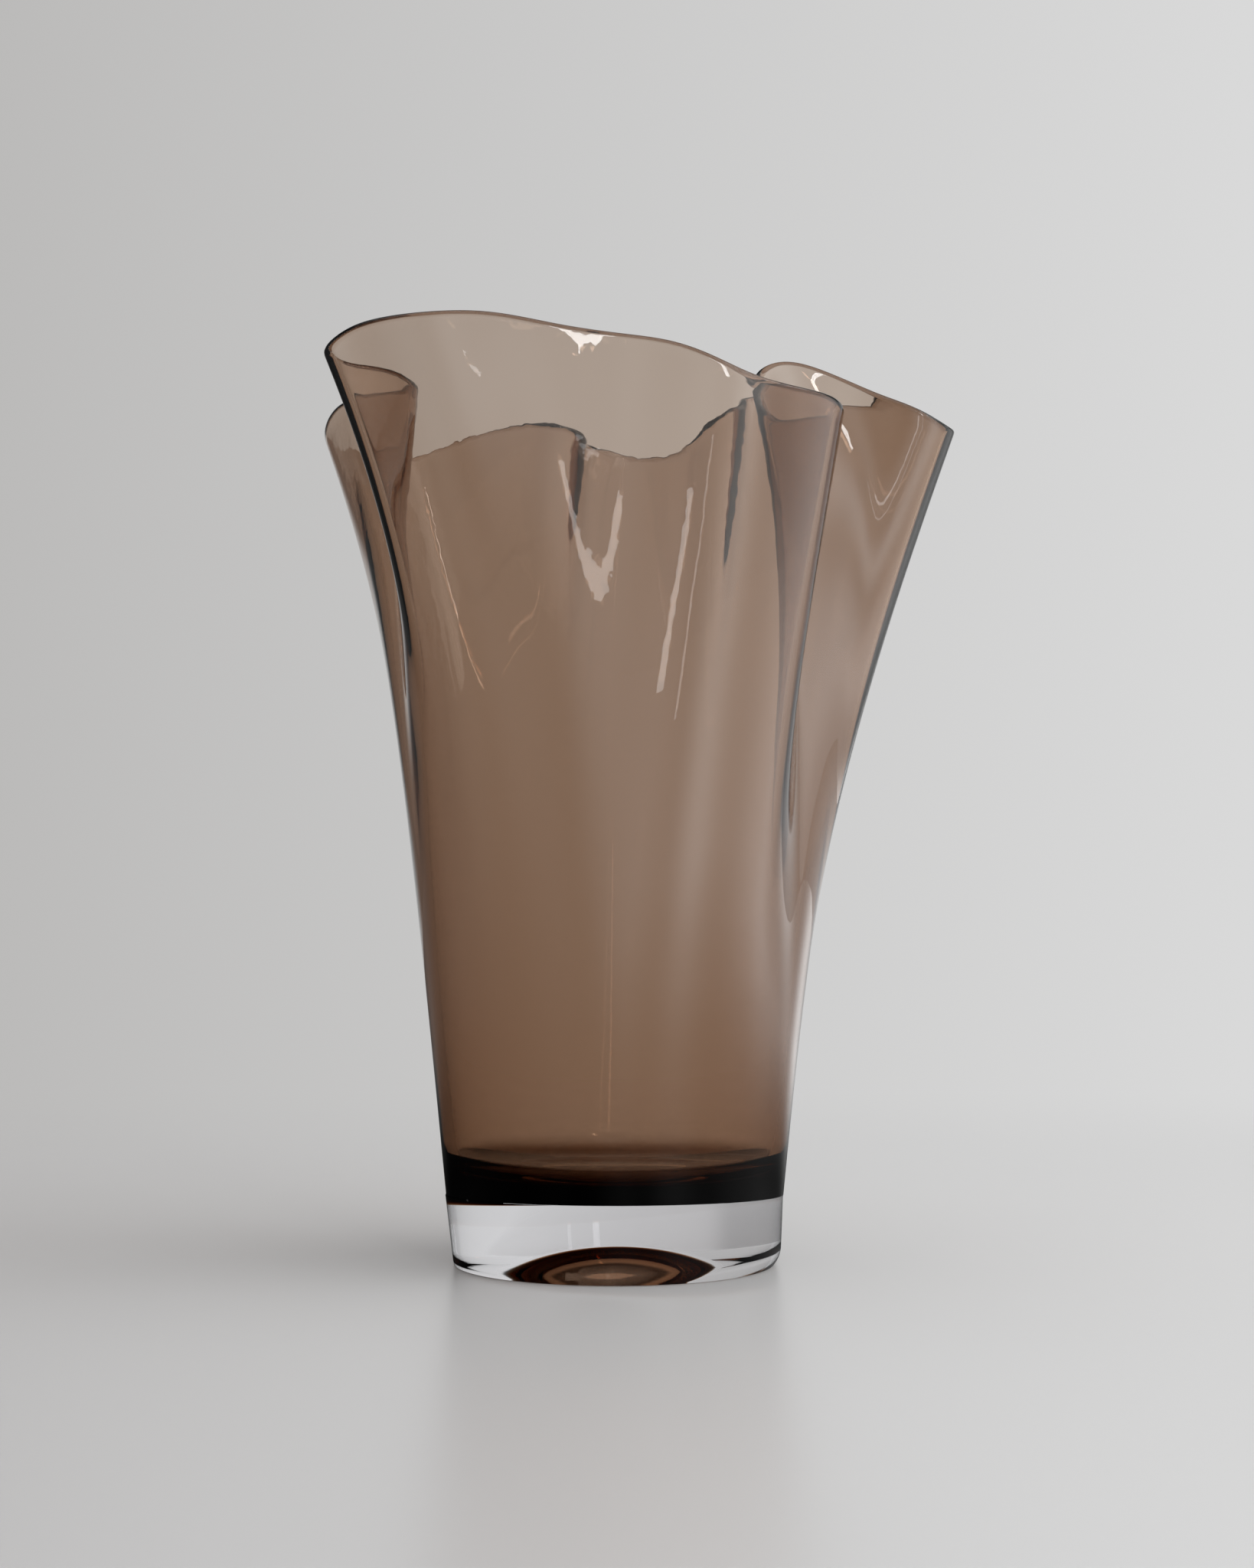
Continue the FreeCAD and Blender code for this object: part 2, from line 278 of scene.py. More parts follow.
class GlassSettings(bpy.types.PropertyGroup):
    """Colour and surface of the two glasses"""

    smoke_colour: colour_property(
        "Smoke colour", "What the brown glass lets through", "#C2985F",
    )
    smoke_density: level_property(
        "Smoke density", "How fast the brown glass takes light, per metre", 320.0,
    )
    # Painted shade: a darker tint in the skin along the lip, for the dark lines that the rim
    # shows.
    lip_shade_colour: colour_property(
        "Lip colour", "Tint of the glass that the flame gathered in the rim", "#B39781",
    )
    crystal_colour: colour_property(
        "Crystal colour", "What the clear glass lets through", "#E4E3EC",
    )
    crystal_density: level_property(
        "Crystal density", "How fast the clear glass takes light, per metre", 4.0,
    )
    index: FloatProperty(
        name="Refractive index", description="Refractive index of soda-lime glass",
        default=1.5, min=1.0, max=2.5,
    )
    wave_size: length_property("Wave size", "Size of the soft waves from the blowing", 34.0)
    wave_depth: length_property("Wave depth", "Depth of the soft waves", 0.25)
    ripple_size: length_property("Ripple size", "Size of the ripples from the tools", 4.0)
    ripple_depth: length_property("Ripple depth", "Depth of the ripples at the rim", 0.03)
    ripples_from: length_property("Ripples from", "Height at which the ripples set in", 130.0)
    ripples_full: length_property("Ripples full", "Height of their full depth", 215.0)
    ripples_below: level_property("Ripples below", "Share of their depth further down", 0.15)


class StageSettings(bpy.types.PropertyGroup):
    """Floor, backdrop, room and camera"""

    # Painted light: the board and the wall are coloured lighter at the right, where the light
    # comes from.
    floor_shaded_left: colour_property("Floor, left", "Pale matt board at the left", "#BDBCBC")
    floor_lit_right: colour_property("Floor, right", "Pale matt board at the right", "#CFCFCF")
    backdrop_shaded_left: colour_property("Backdrop, left", "Pale wall at the left", "#BBBAB9")
    backdrop_lit_right: colour_property("Backdrop, right", "Pale wall at the right", "#D9D9D9")
    floor_end: length_property(
        "Floor end", "Where the floor has turned into the backdrop", 573.0,
    )
    backdrop_distance: length_property(
        "Backdrop distance", "From the vase to the backdrop", 1500.0,
    )
    camera_distance: length_property("Camera distance", "From the vase to the camera", 700.0)
    camera_height: length_property("Camera height", "Height of the camera", 100.0)
    lens: FloatProperty(name="Lens", description="Focal length", default=61.5, unit="CAMERA")
    # Painted shade: the wall's glow is dimmed over the frame and, in mirrors, left of it.
    backdrop_above: level_property(
        "Backdrop, above", "Brightness of the wall over the picture's frame", 0.15,
    )
    # Painted shade: the board near the vase as the glass mirrors it.
    floor_mirrored: level_property(
        "Floor in mirrors", "Brightness of the floor near the vase as the glass mirrors it", 0.06,
    )
    wall_left: level_property(
        "Wall, left", "Brightness of the wall left of the picture's frame", 0.2,
    )
    room_left: level_property("Room, left", "Light that comes from the left of the room", 0.16)
    room_right: level_property("Room, right", "Light that comes from the right of the room", 2.1)
    room_behind: level_property(
        "Room, behind", "Share of that light that comes from behind the vase", 0.62,
    )
    room_seen: level_property(
        "Room, seen", "Brightness of the room where it is looked at", 0.62,
    )
    room_top: level_property("Room, top", "Light that comes from overhead", 0.8)


def spline_bends(values, steps):
    """Second derivatives of the smooth closed curve through a row of values."""
    count = len(values)
    system = np.zeros((count, count))
    right = np.zeros_like(values)
    for i in range(count):
        before, after = steps[i - 1], steps[i]
        system[i, i - 1] += before
        system[i, i] += 2 * (before + after)
        system[i, (i + 1) % count] += after
        rise = (values[(i + 1) % count] - values[i]) / after
        right[i] = 6 * (rise - (values[i] - values[i - 1]) / before)
    return np.linalg.solve(system, right)


def cubic(rows, steps):
    """Rows between the first and the last of four, on the cubic strip they span."""
    found = []
    for i in range(1, steps):
        b = i / steps
        a = 1 - b
        found.append(
            a ** 3 * rows[0] + 3 * a * a * b * rows[1] + 3 * a * b * b * rows[2] + b ** 3 * rows[3]
        )
    return found


def disc_rows(edge, centre):
    """Rings that draw in from an edge towards a centre, the last one small."""
    return [centre + (edge - centre) * (1 - i / DISC_STEPS) for i in range(1, DISC_STEPS)]


class FoldedWall:
    """The outside of the bowl: lines of glass that run from the seam to the rim."""

    def __init__(self, sizes):
        self.sizes = sizes
        table = np.array(RIM_SHARES)
        angle = np.radians(table[:, 0])
        reach = table[:, 1] * sizes.rim_radius
        top = sizes.vase_height - sizes.rim_wall / 2 - table[:, 2] * sizes.rim_dip
        self.rim = np.stack([reach * np.cos(angle), reach * np.sin(angle), top], axis=1)
        self.power = table[:, 3]
        # The lines leave the round seam spaced as they are along the rim.
        self.steps = np.linalg.norm(np.roll(self.rim, -1, axis=0) - self.rim, axis=1)
        run = np.concatenate([[0.0], np.cumsum(self.steps)[:-1]]) / self.steps.sum()
        turn = angle - 2 * math.pi * run
        offset = math.atan2(np.sin(turn).sum(), np.cos(turn).sum())
        self.root = offset + 2 * math.pi * run
        self.steps = self.steps / self.steps.sum()

    def seam(self):
        """Where the lines leave the seam."""
        s = self.sizes
        along = s.seam_radius * np.sin(self.root)
        height = s.seam_height - along * math.tan(s.seam_tilt)
        return np.stack([s.seam_radius * np.cos(self.root), along, height], axis=1)

    def at_share(self, share):
        """The points of all lines at a share, or at one share each, of the way up."""
        s = self.sizes
        share = np.broadcast_to(share, self.power.shape)
        seam = self.seam()
        radius = s.seam_radius + (s.throat_radius - s.seam_radius) * share
        fold = share ** self.power
        across = (1 - fold) * radius * np.cos(self.root) + fold * self.rim[:, 0]
        along = (1 - fold) * radius * np.sin(self.root) + fold * self.rim[:, 1]
        height = seam[:, 2] + (self.rim[:, 2] - seam[:, 2]) * share
        return np.stack([across, along, height], axis=1)

    def at_height(self, height):
        """The points of all lines at one height, or at one height each."""
        seam = self.seam()
        return self.at_share((height - seam[:, 2]) / (self.rim[:, 2] - seam[:, 2]))

    def run_at_rim(self):
        """The direction in which each line reaches the rim."""
        run = self.at_share(1.0) - self.at_share(1.0 - RIM_STEP_SHARE)
        return run / np.linalg.norm(run, axis=1, keepdims=True)

    def inward(self, row, thickness):
        """A row of points moved into the glass, square to the row's own curve."""
        bends = spline_bends(row, self.steps)
        ahead = np.roll(row, -1, axis=0)
        step = self.steps[:, None]
        along = (ahead - row) / step - step * (2 * bends + np.roll(bends, -1, axis=0)) / 6
        side = np.stack([-along[:, 1], along[:, 0], np.zeros(len(along))], axis=1)
        return row + side / np.linalg.norm(side, axis=1, keepdims=True) * thickness

    def smooth(self, row):
        """A row of the mesh: the smooth closed curve through one point on each line."""
        bends = spline_bends(row, self.steps)
        ahead = np.roll(row, -1, axis=0)
        ahead_bends = np.roll(bends, -1, axis=0)
        step = self.steps[:, None]
        columns = []
        for i in range(self.sizes.steps_per_line):
            b = i / self.sizes.steps_per_line
            a = 1 - b
            columns.append(
                a * row + b * ahead
                + ((a ** 3 - a) * bends + (b ** 3 - b) * ahead_bends) * step ** 2 / 6
            )
        return np.stack(columns, axis=1).reshape(-1, 3)

    def strip(self, rows, steps):
        """Rows of the mesh on the cubic strip that four rows of points span."""
        return cubic([self.smooth(row) for row in rows], steps)


class FootBlank:
    """The foot before grinding: a tapering round that leans about the seam's middle."""

    def __init__(self, sizes):
        self.sizes = sizes
        self.angle = np.linspace(0.0, 2 * math.pi, FOOT_COLUMNS, endpoint=False)
        self.around = np.stack(
            [np.cos(self.angle), np.sin(self.angle), np.zeros(FOOT_COLUMNS)], axis=1,
        )
        self.middle = np.array((0.0, 0.0, sizes.seam_height))
        # The rounding touches the side and the bottom.
        bottom = -(sizes.seam_height + sizes.grinding_depth)
        half = (math.pi / 2 - sizes.foot_taper) / 2
        self.ball_height = bottom + sizes.foot_corner
        self.ball_radius = (
            sizes.seam_radius + bottom * math.tan(sizes.foot_taper)
            - sizes.foot_corner * math.tan(half)
        )

    def leaned(self, radius, height):
        """Points of the blank, from their radius and their height over the seam's middle."""
        x, y = radius * np.cos(self.angle), radius * np.sin(self.angle)
        lean = self.sizes.foot_lean
        return np.stack([
            x * math.cos(lean) - height * math.sin(lean), y,
            x * math.sin(lean) + height * math.cos(lean),
        ], axis=1) + self.middle

    def profile(self, t):
        """Points of the side: down to the rounding up to a t of 1, round it up to 2."""
        s = self.sizes
        turn = -s.foot_taper - np.clip(t - 1, 0, 1) * (math.pi / 2 - s.foot_taper)
        start_radius = self.ball_radius + s.foot_corner * math.cos(s.foot_taper)
        start_height = self.ball_height - s.foot_corner * math.sin(s.foot_taper)
        top = BLANK_TOP_SHARE * s.seam_radius
        side_height = top + (start_height - top) * np.clip(t, 0, 1)
        side_radius = start_radius + (side_height - start_height) * math.tan(s.foot_taper)
        return self.leaned(
            np.where(t < 1, side_radius, self.ball_radius + s.foot_corner * np.cos(turn)),
            np.where(t < 1, side_height, self.ball_height + s.foot_corner * np.sin(turn)),
        )

    def crossing(self, height_over):
        """Where each column's profile passes from above a plane to below it."""
        low, high = np.zeros(FOOT_COLUMNS), np.full(FOOT_COLUMNS, 2.0)
        for _ in range(HALVINGS):
            mid = (low + high) / 2
            above = height_over(self.profile(mid)) > 0
            low = np.where(above, mid, low)
            high = np.where(above, high, mid)
        return (low + high) / 2


def make_piece(name, rows, centres, joined_bands, sharp_rows):
    """One closed mesh from rings of points, the first and the last drawn to a centre.

    The first joined_bands bands are marked as the face that is fused to the other glass."""
    columns = len(rows[0])
    points = np.concatenate(rows + [np.array(centres)])
    first_centre = len(rows) * columns
    last = first_centre - columns
    faces = [(first_centre, i, (i + 1) % columns) for i in range(columns)]
    for a in range(0, last, columns):
        b = a + columns
        for i in range(columns):
            j = (i + 1) % columns
            faces.append((a + i, b + i, b + j, a + j))
    for i in range(columns):
        faces.append((last + (i + 1) % columns, last + i, first_centre + 1))
    mesh = bpy.data.meshes.new(name)
    mesh.from_pydata(points.tolist(), [], faces)
    mesh.polygons.foreach_set("use_smooth", [True] * len(faces))
    joined = np.arange(len(faces)) < joined_bands * columns
    mesh.attributes.new("joined", "FLOAT", "FACE").data.foreach_set("value", joined.astype(float))
    sharp = set()
    for row in sharp_rows:
        for i in range(columns):
            ends = (row * columns + i, row * columns + (i + 1) % columns)
            sharp.add(tuple(sorted(ends)))
    flags = [tuple(sorted(edge.vertices)) in sharp for edge in mesh.edges]
    mesh.attributes.new("sharp_edge", "BOOLEAN", "EDGE").data.foreach_set("value", flags)
    mesh.update()
    # Faces point outwards when the volume that they close is positive.
    corners = np.array([face.vertices[:3] for face in mesh.polygons])
    a, b, c = points[corners[:, 0]], points[corners[:, 1]], points[corners[:, 2]]
    if np.einsum("ij,ij->i", a, np.cross(b, c)).sum() < 0:
        mesh.flip_normals()
    piece = bpy.data.objects.new(name, mesh)
    bpy.context.scene.collection.objects.link(piece)
    return piece


def add_node(tree, kind, settings=None, links=None):
    """Add a node with its settings and with links into its input sockets."""
    node = tree.nodes.new(kind)
    for key, value in (settings or {}).items():
        if isinstance(key, int) or key in node.inputs:
            node.inputs[key].default_value = value
        else:
            setattr(node, key, value)
    for key, socket in (links or {}).items():
        tree.links.new(socket, node.inputs[key])
    return node


def new_material(name):
    material = bpy.data.materials.new(name)
    material.use_nodes = True
    material.node_tree.nodes.clear()
    return material, material.node_tree


def blown_waves(tree, glass):
    """Broad soft waves from the blowing, and ripples where the tools held the rim.

    The marks of real tools are finer. These are as coarse as they need to be to show."""
    place = add_node(tree, "ShaderNodeTexCoord")
    waves = add_node(tree, "ShaderNodeTexNoise", {
        "Scale": 1 / glass.wave_size, "Detail": 1.0, "Roughness": 0.4,
    }, {"Vector": place.outputs["Object"]})
    ripples = add_node(tree, "ShaderNodeTexNoise", {
        "Scale": 1 / glass.ripple_size, "Detail": 1.5, "Roughness": 0.5,
    }, {"Vector": place.outputs["Object"]})
    axes = add_node(tree, "ShaderNodeSeparateXYZ", links={0: place.outputs["Object"]})
    near_rim = add_node(tree, "ShaderNodeMapRange", {
        "From Min": glass.ripples_from, "From Max": glass.ripples_full,
        "To Min": glass.ripples_below, "To Max": 1.0,
    }, {"Value": axes.outputs["Z"]})
    ripple_height = add_node(tree, "ShaderNodeMath", {"operation": "MULTIPLY"}, {
        0: ripples.outputs["Fac"], 1: near_rim.outputs["Result"],
    })
    soft = add_node(tree, "ShaderNodeBump", {"Strength": 1.0, "Distance": glass.wave_depth}, {
        "Height": waves.outputs["Fac"],
    })
    both = add_node(tree, "ShaderNodeBump", {"Strength": 1.0, "Distance": glass.ripple_depth}, {
        "Height": ripple_height.outputs[0], "Normal": soft.outputs["Normal"],
    })
    return both.outputs["Normal"]


def glass_material(name, glass, colour, density, wavy):
    """Smooth glass with its tint in its depth: thick glass is darker than thin glass.

    The lip attribute paints a darker shade into the skin of the rim. Light crosses the fused
    faces, marked by the joined attribute, unbent, because both glasses have one index. Rays to the
    lamps pass straight through the skin, so the vase throws a pale shadow, as glass does."""
    material, tree = new_material(name)
    normal = {"Normal": blown_waves(tree, glass)} if wavy else None
    # The second glass has the lip shade colour: painted shade along the rim.
    clear, tinted = [
        add_node(tree, "ShaderNodeBsdfPrincipled", {
            "Base Color": (*tint, 1.0), "Roughness": 0.0, "IOR": glass.index,
            "Transmission Weight": 1.0,
        }, normal)
        for tint in (WHITE, glass.lip_shade_colour)
    ]
    lip = add_node(tree, "ShaderNodeAttribute", {"attribute_name": "lip"})
    seen = add_node(tree, "ShaderNodeMixShader", links={
        0: lip.outputs["Fac"], 1: clear.outputs[0], 2: tinted.outputs[0],
    })
    shadow = add_node(tree, "ShaderNodeBsdfTransparent", {"Color": (*SHADOW_TINT, 1.0)})
    path = add_node(tree, "ShaderNodeLightPath")
    skin = add_node(tree, "ShaderNodeMixShader", links={
        0: path.outputs["Is Shadow Ray"], 1: seen.outputs[0], 2: shadow.outputs[0],
    })
    joined = add_node(tree, "ShaderNodeAttribute", {"attribute_name": "joined"})
    unbent = add_node(tree, "ShaderNodeBsdfTransparent", {"Color": (*WHITE, 1.0)})
    surface = add_node(tree, "ShaderNodeMixShader", links={
        0: joined.outputs["Fac"], 1: skin.outputs[0], 2: unbent.outputs[0],
    })
    depth = add_node(tree, "ShaderNodeVolumeAbsorption", {
        "Color": (*colour, 1.0), "Density": density,
    })
    add_node(tree, "ShaderNodeOutputMaterial", links={
        "Surface": surface.outputs[0], "Volume": depth.outputs[0],
    })
    return material


def sideways(tree, stage):
    """How far right a place on the stage lies, per metre of distance seen from the front."""
    place = add_node(tree, "ShaderNodeTexCoord")
    axes = add_node(tree, "ShaderNodeSeparateXYZ", links={0: place.outputs["Object"]})
    distance = add_node(tree, "ShaderNodeMath", {
        "operation": "ADD", 1: stage.camera_distance,
    }, {0: axes.outputs["Y"]})
    # The board reaches past the picture's viewpoint, where the share would turn over.
    in_front = add_node(tree, "ShaderNodeMath", {
        "operation": "MAXIMUM", 1: NEAREST_SHARE * stage.camera_distance,
    }, {0: distance.outputs[0]})
    slope = add_node(tree, "ShaderNodeMath", {"operation": "DIVIDE"}, {
        0: axes.outputs["X"], 1: in_front.outputs[0],
    })
    return slope.outputs[0]


def across_colour(tree, stage, left, right):
    """A colour that turns from the left side of the picture to its right side."""
    share = add_node(tree, "ShaderNodeMapRange", {
        "From Min": -PICTURE_SIDE, "From Max": PICTURE_SIDE,
    }, {"Value": sideways(tree, stage)})
    # The colour sockets of a Mix node are its inputs 6 and 7 and its output 2.
    mixed = add_node(tree, "ShaderNodeMix", {
        "data_type": "RGBA", 6: (*left, 1.0), 7: (*right, 1.0),
    }, {0: share.outputs["Result"]})
    return mixed.outputs[2]


def room_level(tree, stage, way):
    """Brightness of the room towards a direction: dark at the left, pale at the right."""
    axes = add_node(tree, "ShaderNodeSeparateXYZ", links={0: way})
    across = add_node(tree, "ShaderNodeMapRange", {
        "interpolation_type": "SMOOTHSTEP",
        "From Min": ROOM_ACROSS[0], "From Max": ROOM_ACROSS[1],
        "To Min": stage.room_left, "To Max": stage.room_right,
    }, {"Value": axes.outputs["X"]})
    turn = add_node(tree, "ShaderNodeMath", {"operation": "MULTIPLY", 1: STRIPE_TURNS}, {
        0: axes.outputs["X"],
    })
    wave = add_node(tree, "ShaderNodeMath", {"operation": "COSINE"}, {0: turn.outputs[0]})
    stripe = add_node(tree, "ShaderNodeMath", {
        "operation": "MULTIPLY_ADD", 1: STRIPE_DEPTH, 2: 1.0,
    }, {0: wave.outputs[0]})
    striped = add_node(tree, "ShaderNodeMath", {"operation": "MULTIPLY"}, {
        0: across.outputs["Result"], 1: stripe.outputs[0],
    })
    # The window is beside the camera, so the room behind the vase gets less of it.
    behind = add_node(tree, "ShaderNodeMapRange", {
        "interpolation_type": "SMOOTHSTEP",
        "From Min": ROOM_BEHIND[0], "From Max": ROOM_BEHIND[1],
        "To Min": 1.0, "To Max": stage.room_behind,
    }, {"Value": axes.outputs["Y"]})
    level_round = add_node(tree, "ShaderNodeMath", {"operation": "MULTIPLY"}, {
        0: striped.outputs[0], 1: behind.outputs["Result"],
    })
    upward = add_node(tree, "ShaderNodeMapRange", {
        "interpolation_type": "SMOOTHSTEP",
        "From Min": ROOM_UPWARD[0], "From Max": ROOM_UPWARD[1],
        "To Min": 0.0, "To Max": stage.room_top,
    }, {"Value": axes.outputs["Z"]})
    level = add_node(tree, "ShaderNodeMath", {"operation": "MAXIMUM"}, {
        0: level_round.outputs[0], 1: upward.outputs["Result"],
    })
    return level.outputs[0]


def board_material(stage):
    """Board with rolled matt paint: an even pale tone with a broad soft sheen.

    Light from the right is painted into its colour, so it is lighter towards the lit right side.
    Its far part glows with the wall's painted tone, so no edge shows between them. Where glass
    mirrors it, it glows with painted light instead: dim near the vase as painted shade, and as
    bright as the room further off."""
    material, tree = new_material("Matt painted board")
    # Painted light: the board's colour runs from the shaded left to the lit right.
    board = add_node(tree, "ShaderNodeBsdfPrincipled", {
        "Roughness": 0.3, "Specular IOR Level": 0.4,
    }, {"Base Color": across_colour(tree, stage, stage.floor_shaded_left, stage.floor_lit_right)})
    # Painted glow: the far board shows the wall's painted tone, lighter at the right.
    far_tone = add_node(tree, "ShaderNodeEmission", links={
        "Color": across_colour(tree, stage, stage.backdrop_shaded_left, stage.backdrop_lit_right),
    })
    place = add_node(tree, "ShaderNodeTexCoord")
    axes = add_node(tree, "ShaderNodeSeparateXYZ", links={0: place.outputs["Object"]})
    far = add_node(tree, "ShaderNodeMapRange", {
        "interpolation_type": "SMOOTHSTEP",
        "From Min": stage.floor_end * BOARD_BLEND_SHARE, "From Max": stage.floor_end,
    }, {"Value": axes.outputs["Y"]})
    blended = add_node(tree, "ShaderNodeMixShader", links={
        0: far.outputs["Result"], 1: board.outputs[0], 2: far_tone.outputs[0],
    })

    # Painted reflection: mirrored rays see the board as a glow, dim near the vase as painted shade
    # and as bright as the room further off.
    reach = add_node(tree, "ShaderNodeVectorMath", {"operation": "LENGTH"}, {
        0: place.outputs["Object"],
    })
    away = add_node(tree, "ShaderNodeMapRange", {
        "interpolation_type": "SMOOTHSTEP",
        "From Min": BOARD_DIM_TO, "From Max": BOARD_FULL_FROM,
        "To Min": stage.floor_mirrored, "To Max": 1.0,
    }, {"Value": reach.outputs["Value"]})
    way = add_node(tree, "ShaderNodeVectorMath", {"operation": "NORMALIZE"}, {
        0: place.outputs["Object"],
    })
    strength = add_node(tree, "ShaderNodeMath", {"operation": "MULTIPLY"}, {
        0: away.outputs["Result"], 1: room_level(tree, stage, way.outputs["Vector"]),
    })
    in_mirror = add_node(tree, "ShaderNodeEmission", {"Color": (*WHITE, 1.0)}, {
        "Strength": strength.outputs[0],
    })
    path = add_node(tree, "ShaderNodeLightPath")
    mirrored = add_node(tree, "ShaderNodeMath", {"operation": "MULTIPLY"}, {
        0: path.outputs["Is Glossy Ray"], 1: path.outputs["Is Reflection Ray"],
    })
    mixed = add_node(tree, "ShaderNodeMixShader", links={
        0: mirrored.outputs[0], 1: blended.outputs[0], 2: in_mirror.outputs[0],
    })
    add_node(tree, "ShaderNodeOutputMaterial", links={"Surface": mixed.outputs[0]})
    return material


def wall_material(stage):
    """Plaster wall with matt paint: a flat pale tone without sheen, lighter at the right, where
    light from the right is painted into it.

    Where it is seen, in the picture, through glass or mirrored, it glows with that painted tone
    instead of being lit. Its glow is dim high up, and in mirrors also left of the picture's frame:
    painted shade for the dark room."""
    material, tree = new_material("Matt painted wall")
    # Painted light: the wall's tone runs from the shaded left to the lit right.
    pale = across_colour(tree, stage, stage.backdrop_shaded_left, stage.backdrop_lit_right)
    paint = add_node(tree, "ShaderNodeBsdfDiffuse", links={"Color": pale})
    beside = add_node(tree, "ShaderNodeMapRange", {
        "interpolation_type": "SMOOTHSTEP", "From Min": -DARK_SIDE, "From Max": -PICTURE_SIDE,
        "To Min": stage.wall_left, "To Max": 1.0,
    }, {"Value": sideways(tree, stage)})
    path = add_node(tree, "ShaderNodeLightPath")
    mirrored = add_node(tree, "ShaderNodeMix", {"A": 1.0}, {
        "Factor": path.outputs["Is Reflection Ray"], "B": beside.outputs["Result"],
    })
    place = add_node(tree, "ShaderNodeTexCoord")
    axes = add_node(tree, "ShaderNodeSeparateXYZ", links={0: place.outputs["Object"]})
    above = add_node(tree, "ShaderNodeMapRange", {
        "interpolation_type": "SMOOTHSTEP", "From Min": WALL_LIT_TO, "From Max": WALL_DIM_FROM,
        "To Min": 1.0, "To Max": stage.backdrop_above,
    }, {"Value": axes.outputs["Z"]})
    strength = add_node(tree, "ShaderNodeMath", {"operation": "MULTIPLY"}, {
        0: mirrored.outputs["Result"], 1: above.outputs["Result"],
    })
    # The wall glows with its painted tone and painted shade where it is seen.
    shown = add_node(tree, "ShaderNodeEmission", links={
        "Color": pale, "Strength": strength.outputs[0],
    })
    seen = add_node(tree, "ShaderNodeMath", {"operation": "ADD"}, {
        0: path.outputs["Is Camera Ray"], 1: path.outputs["Is Glossy Ray"],
    })
    through = add_node(tree, "ShaderNodeMath", {"operation": "ADD", "use_clamp": True}, {
        0: seen.outputs[0], 1: path.outputs["Is Transmission Ray"],
    })
    mixed = add_node(tree, "ShaderNodeMixShader", links={
        0: through.outputs[0], 1: paint.outputs[0], 2: shown.outputs[0],
    })
    add_node(tree, "ShaderNodeOutputMaterial", links={"Surface": mixed.outputs[0]})
    return material


def make_room(scene, stage):
    """The world: the room's uneven light, and one calm tone where it is looked at."""
    world = bpy.data.worlds.new("Room")
    scene.world = world
    world.use_nodes = True
    tree = world.node_tree
    tree.nodes.clear()
    way = add_node(tree, "ShaderNodeTexCoord")
    path = add_node(tree, "ShaderNodeLightPath")
    seen = add_node(tree, "ShaderNodeMath", {"operation": "MAXIMUM"}, {
        0: path.outputs["Is Camera Ray"], 1: path.outputs["Is Transmission Ray"],
    })
    level = add_node(tree, "ShaderNodeMix", {"B": stage.room_seen}, {
        "Factor": seen.outputs[0],
        "A": room_level(tree, stage, way.outputs["Generated"]),
    })
    light = add_node(tree, "ShaderNodeBackground", {"Color": (*WHITE, 1.0)}, {
        "Strength": level.outputs["Result"],
    })
    add_node(tree, "ShaderNodeOutputWorld", links={"Surface": light.outputs[0]})


def make_sheet(name, corners, material):
    """One flat sheet of the stage."""
    mesh = bpy.data.meshes.new(name)
    mesh.from_pydata(corners, [], [(0, 1, 2, 3)])
    mesh.materials.append(material)
    sheet = bpy.data.objects.new(name, mesh)
    bpy.context.scene.collection.objects.link(sheet)


def make_lamp(name, place, target, size, power, mirrored, seen_through):
    """A softbox: a flat lamp of a width and height, turned to face a point."""
    data = bpy.data.lights.new(name, "AREA")
    data.shape = "RECTANGLE"
    data.size, data.size_y = size
    data.energy = power
    lamp = bpy.data.objects.new(name, data)
    bpy.context.scene.collection.objects.link(lamp)
    way = Vector(target) - Vector(place)
    lamp.location = place
    lamp.rotation_euler = way.to_track_quat("-Z", "Y").to_euler()
    lamp.visible_glossy = mirrored
    lamp.visible_transmission = seen_through


def make_camera(scene, stage):
    """The camera looks level at the vase, and its shift frames the picture."""
    data = bpy.data.cameras.new("Camera")
    data.lens = stage.lens
    data.shift_x = SHIFT_RIGHT_PX / PICTURE_HEIGHT_PX
    data.shift_y = SHIFT_UP_PX / PICTURE_HEIGHT_PX
    camera = bpy.data.objects.new("Camera", data)
    scene.collection.objects.link(camera)
    camera.location = (0.0, -stage.camera_distance, stage.camera_height)
    camera.rotation_euler = (math.pi / 2, 0.0, 0.0)
    scene.camera = camera


class VASE_OT_stage(bpy.types.Operator):
    """Build the pale floor and backdrop, the room, the lamps and the camera"""

    bl_idname = "vase.stage"
    bl_label = "Stage"

    def execute(self, context):
        scene = context.scene
        stage = scene.vase_stage
        back = stage.backdrop_distance
        make_sheet("board_floor", [
            (-BOARD_HALF_WIDTH, BOARD_FRONT, -FLOOR_DROP),
            (BOARD_HALF_WIDTH, BOARD_FRONT, -FLOOR_DROP),
            (BOARD_HALF_WIDTH, back, -FLOOR_DROP),
            (-BOARD_HALF_WIDTH, back, -FLOOR_DROP),
        ], board_material(stage))
        make_sheet("painted_wall", [
            (-WALL_HALF_WIDTH, back, -FLOOR_DROP),
            (WALL_HALF_WIDTH, back, -FLOOR_DROP),
            (WALL_HALF_WIDTH, back, WALL_TOP),
            (-WALL_HALF_WIDTH, back, WALL_TOP),
        ], wall_material(stage))
        make_room(scene, stage)
        for lamp in LAMPS:
            make_lamp(*lamp)
        make_camera(scene, stage)
        scene.view_settings.view_transform = "Standard"
        return {"FINISHED"}


